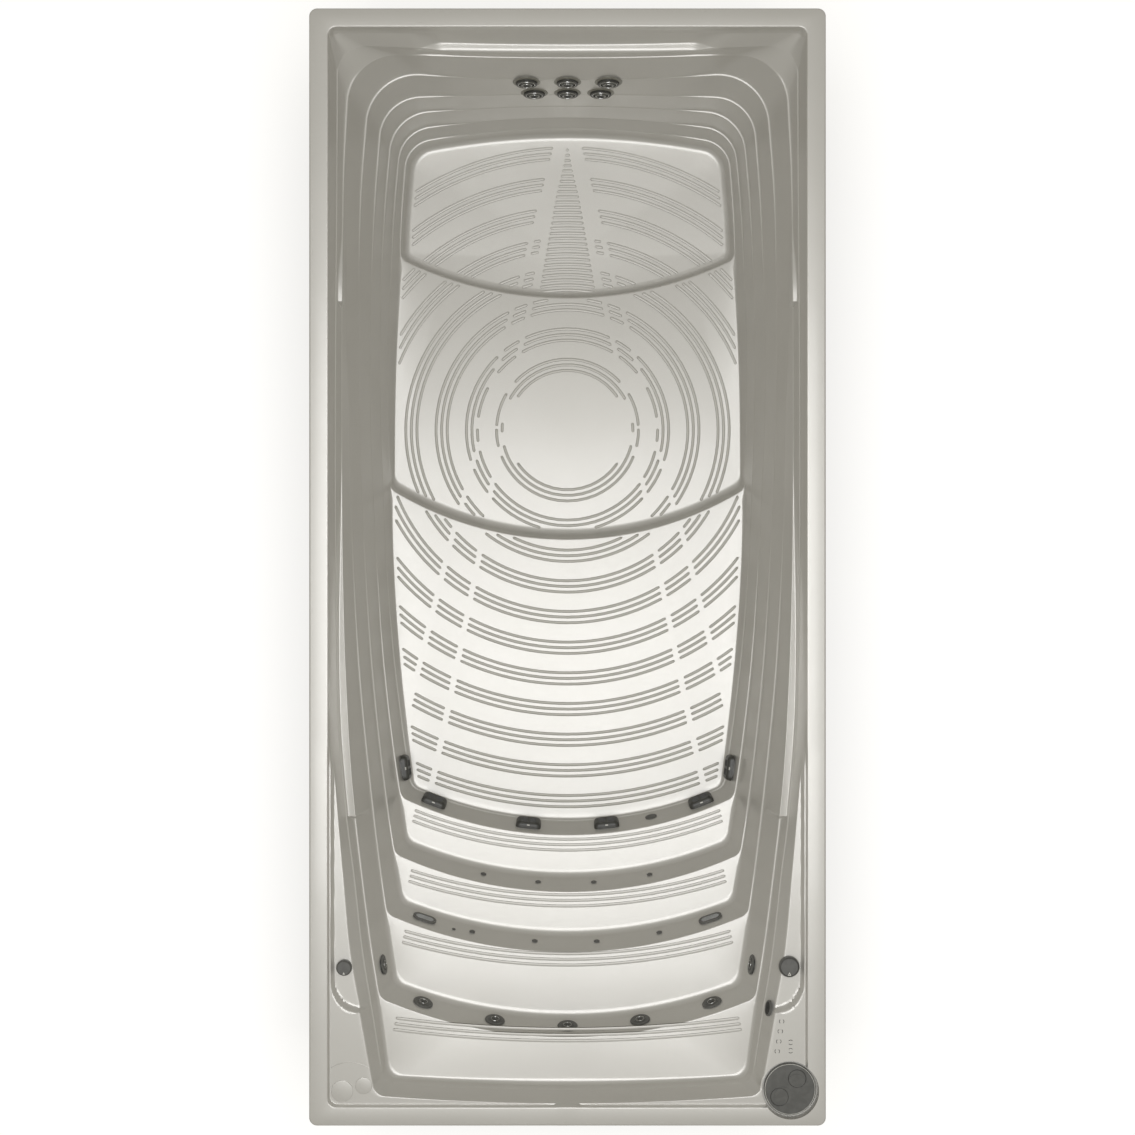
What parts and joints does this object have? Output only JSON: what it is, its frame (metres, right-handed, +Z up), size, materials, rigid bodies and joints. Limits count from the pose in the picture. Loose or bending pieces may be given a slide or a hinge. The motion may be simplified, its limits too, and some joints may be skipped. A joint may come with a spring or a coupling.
{
  "type": "swim spa",
  "caption": "Rectangular swim spa with a moulded basin, swim-jet wall, curved entry steps, deck controls, filter and pump equipment in a lift-off panelled cabinet.",
  "frame": {"origin": "middle of the footprint, on the ground", "axes": "+Z up, +Y along the length towards the swim-jet wall, +X to the right seen from above"},
  "size_m": [2.34, 5.06, 1.32],
  "materials": {
    "acrylic": "glossy pearl acrylic, silver grey",
    "dark_plastic": "satin dark grey moulded plastic",
    "lens": "frosted clear lens",
    "cabinet_panel": "dark grey composite planks",
    "cabinet_trim": "dark grey corner trim",
    "pan": "black base tray",
    "frame_metal": "galvanised steel frame",
    "screws": "stainless screw heads",
    "pipe": "white pressure pipe",
    "motor": "black painted motor casing",
    "wet_end": "black moulded pump housing",
    "box": "grey equipment box",
    "steel": "stainless steel",
    "filter_media": "white pleated filter fabric",
    "button": "grey push button"
  },
  "bodies": {
    "spa": {"shell": "acrylic", "base_pan": "pan", "base_frame": "frame_metal", "wall_studs": "frame_metal", "step_supports": "frame_metal", "side_panel_left": "cabinet_panel", "side_panel_right": "cabinet_panel", "jet_end_panel": "cabinet_panel", "corner_posts": "cabinet_trim", "panel_screws": "screws", "swim_jet_bodies": "dark_plastic", "therapy_jet_bodies": "dark_plastic", "air_injectors": "dark_plastic", "water_sensor": "dark_plastic", "return_fitting": "dark_plastic", "overflow_fitting": "dark_plastic", "suction_bodies": "dark_plastic", "suction_covers": "dark_plastic", "step_light_bezels": "dark_plastic", "step_light_lenses": "lens", "deck_valves": "dark_plastic", "keypad_bezel": "acrylic", "filter_canister": "pipe", "pump_motors": "motor", "pump_wet_ends": "wet_end", "suction_pipes": "pipe", "jet_pipes": "pipe", "therapy_pipes": "pipe", "control_box": "box", "heater": "steel", "drain_spigot": "pipe", "cable_gland": "dark_plastic"},
    "swim_jet_nozzle_1": {"swim_jet_nozzle_1": "dark_plastic"},
    "swim_jet_nozzle_2": {"swim_jet_nozzle_2": "dark_plastic"},
    "swim_jet_nozzle_3": {"swim_jet_nozzle_3": "dark_plastic"},
    "swim_jet_nozzle_4": {"swim_jet_nozzle_4": "dark_plastic"},
    "swim_jet_nozzle_5": {"swim_jet_nozzle_5": "dark_plastic"},
    "swim_jet_nozzle_6": {"swim_jet_nozzle_6": "dark_plastic"},
    "therapy_jet_face_1": {"therapy_jet_face_1": "dark_plastic"},
    "therapy_jet_face_2": {"therapy_jet_face_2": "dark_plastic"},
    "therapy_jet_face_3": {"therapy_jet_face_3": "dark_plastic"},
    "therapy_jet_face_4": {"therapy_jet_face_4": "dark_plastic"},
    "therapy_jet_face_5": {"therapy_jet_face_5": "dark_plastic"},
    "therapy_jet_face_6": {"therapy_jet_face_6": "dark_plastic"},
    "therapy_jet_face_7": {"therapy_jet_face_7": "dark_plastic"},
    "air_knob": {"air_knob": "dark_plastic"},
    "diverter_knob": {"diverter_knob": "dark_plastic"},
    "keypad_button_1": {"keypad_button_1": "button"},
    "keypad_button_2": {"keypad_button_2": "button"},
    "keypad_button_3": {"keypad_button_3": "button"},
    "keypad_button_4": {"keypad_button_4": "button"},
    "keypad_button_5": {"keypad_button_5": "button"},
    "keypad_button_6": {"keypad_button_6": "button"},
    "filter_lid": {"filter_lid": "dark_plastic"},
    "filter_cartridge": {"filter_cartridge": "filter_media"},
    "access_panel": {"access_panel": "cabinet_panel"},
    "drain_collar": {"drain_collar": "dark_plastic"},
    "pump_rotor_1": {"pump_rotor_1": "steel"},
    "pump_rotor_2": {"pump_rotor_2": "steel"},
    "pump_rotor_3": {"pump_rotor_3": "steel"}
  },
  "joints": [
    {"name": "swim_jet_nozzle_1_tilt", "type": "hinge", "parent": "spa", "child": "swim_jet_nozzle_1", "pos_m": [-0.19606, 2.32905, 0.87962], "axis": [1, 0.0085, 0], "range_deg": [-12, 12]},
    {"name": "swim_jet_nozzle_2_tilt", "type": "hinge", "parent": "spa", "child": "swim_jet_nozzle_2", "pos_m": [0, 2.3299, 0.87962], "axis": [1, 0, 0], "range_deg": [-12, 12]},
    {"name": "swim_jet_nozzle_3_tilt", "type": "hinge", "parent": "spa", "child": "swim_jet_nozzle_3", "pos_m": [0.19606, 2.32905, 0.87962], "axis": [1, -0.0085, 0], "range_deg": [-12, 12]},
    {"name": "swim_jet_nozzle_4_tilt", "type": "hinge", "parent": "spa", "child": "swim_jet_nozzle_4", "pos_m": [-0.16205, 2.3203, 0.72954], "axis": [1, 0.0071, 0], "range_deg": [-12, 12]},
    {"name": "swim_jet_nozzle_5_tilt", "type": "hinge", "parent": "spa", "child": "swim_jet_nozzle_5", "pos_m": [0, 2.32089, 0.72954], "axis": [1, 0, 0], "range_deg": [-12, 12]},
    {"name": "swim_jet_nozzle_6_tilt", "type": "hinge", "parent": "spa", "child": "swim_jet_nozzle_6", "pos_m": [0.16205, 2.3203, 0.72954], "axis": [1, -0.0071, 0], "range_deg": [-12, 12]},
    {"name": "therapy_jet_face_1_turn", "type": "hinge", "parent": "spa", "child": "therapy_jet_face_1", "pos_m": [-0.68, -2.05095, 1.01006], "axis": [0.3012, 0.9215, 0.245], "range_deg": [0, 90]},
    {"name": "therapy_jet_face_2_turn", "type": "hinge", "parent": "spa", "child": "therapy_jet_face_2", "pos_m": [-0.342, -2.13359, 1.01006], "axis": [0.1516, 0.9581, 0.2431], "range_deg": [0, 90]},
    {"name": "therapy_jet_face_3_turn", "type": "hinge", "parent": "spa", "child": "therapy_jet_face_3", "pos_m": [0, -2.16085, 1.01006], "axis": [0, 0.9701, 0.2425], "range_deg": [0, 90]},
    {"name": "therapy_jet_face_4_turn", "type": "hinge", "parent": "spa", "child": "therapy_jet_face_4", "pos_m": [0.342, -2.13359, 1.01006], "axis": [-0.1516, 0.9581, 0.2431], "range_deg": [0, 90]},
    {"name": "therapy_jet_face_5_turn", "type": "hinge", "parent": "spa", "child": "therapy_jet_face_5", "pos_m": [0.68, -2.05095, 1.01006], "axis": [-0.3012, 0.9215, 0.245], "range_deg": [0, 90]},
    {"name": "therapy_jet_face_6_turn", "type": "hinge", "parent": "spa", "child": "therapy_jet_face_6", "pos_m": [-0.86469, -1.87296, 1.01006], "axis": [0.979, 0.1767, 0.1014], "range_deg": [0, 90]},
    {"name": "therapy_jet_face_7_turn", "type": "hinge", "parent": "spa", "child": "therapy_jet_face_7", "pos_m": [0.86469, -1.87296, 1.01006], "axis": [-0.979, 0.1767, 0.1014], "range_deg": [0, 90]},
    {"name": "air_knob_turn", "type": "hinge", "parent": "spa", "child": "air_knob", "pos_m": [-1.01802, -1.8259, 1.255], "axis": [0, 0, 1], "range_deg": [0, 180]},
    {"name": "diverter_knob_turn", "type": "hinge", "parent": "spa", "child": "diverter_knob", "pos_m": [1.00994, -1.82109, 1.255], "axis": [0, 0, 1], "range_deg": [0, 180]},
    {"name": "keypad_button_1_press", "type": "slide", "parent": "spa", "child": "keypad_button_1", "axis": [0, 0, -1], "range_m": [0, 0.0015], "stiffness_N_per_m": 600},
    {"name": "keypad_button_2_press", "type": "slide", "parent": "spa", "child": "keypad_button_2", "axis": [0, 0, -1], "range_m": [0, 0.0015], "stiffness_N_per_m": 600},
    {"name": "keypad_button_3_press", "type": "slide", "parent": "spa", "child": "keypad_button_3", "axis": [0, 0, -1], "range_m": [0, 0.0015], "stiffness_N_per_m": 600},
    {"name": "keypad_button_4_press", "type": "slide", "parent": "spa", "child": "keypad_button_4", "axis": [0, 0, -1], "range_m": [0, 0.0015], "stiffness_N_per_m": 600},
    {"name": "keypad_button_5_press", "type": "slide", "parent": "spa", "child": "keypad_button_5", "axis": [0, 0, -1], "range_m": [0, 0.0015], "stiffness_N_per_m": 600},
    {"name": "keypad_button_6_press", "type": "slide", "parent": "spa", "child": "keypad_button_6", "axis": [0, 0, -1], "range_m": [0, 0.0015], "stiffness_N_per_m": 600},
    {"name": "filter_lid_lift", "type": "slide", "parent": "spa", "child": "filter_lid", "axis": [0, 0, 1], "range_m": [0, 0.75]},
    {"name": "filter_cartridge_lift", "type": "slide", "parent": "spa", "child": "filter_cartridge", "axis": [0, 0, 1], "range_m": [0, 0.52]},
    {"name": "access_panel_pull", "type": "slide", "parent": "spa", "child": "access_panel", "axis": [0, -1, 0], "range_m": [0, 0.4]},
    {"name": "drain_collar_turn", "type": "hinge", "parent": "spa", "child": "drain_collar", "pos_m": [-1.156, -2.14999, 0.11999], "axis": [-1, 0, 0], "continuous": true},
    {"name": "pump_rotor_1_spin", "type": "hinge", "parent": "spa", "child": "pump_rotor_1", "pos_m": [-0.56, -1.9901, 0.23202], "axis": [0, 1, 0], "continuous": true},
    {"name": "pump_rotor_2_spin", "type": "hinge", "parent": "spa", "child": "pump_rotor_2", "pos_m": [0, -1.9901, 0.23202], "axis": [0, 1, 0], "continuous": true},
    {"name": "pump_rotor_3_spin", "type": "hinge", "parent": "spa", "child": "pump_rotor_3", "pos_m": [0.56, -1.9901, 0.23202], "axis": [0, 1, 0], "continuous": true}
  ],
  "couplings": [
    {"joint": "filter_cartridge_lift", "follows": "filter_lid_lift", "ratio": 0.69333}
  ]
}
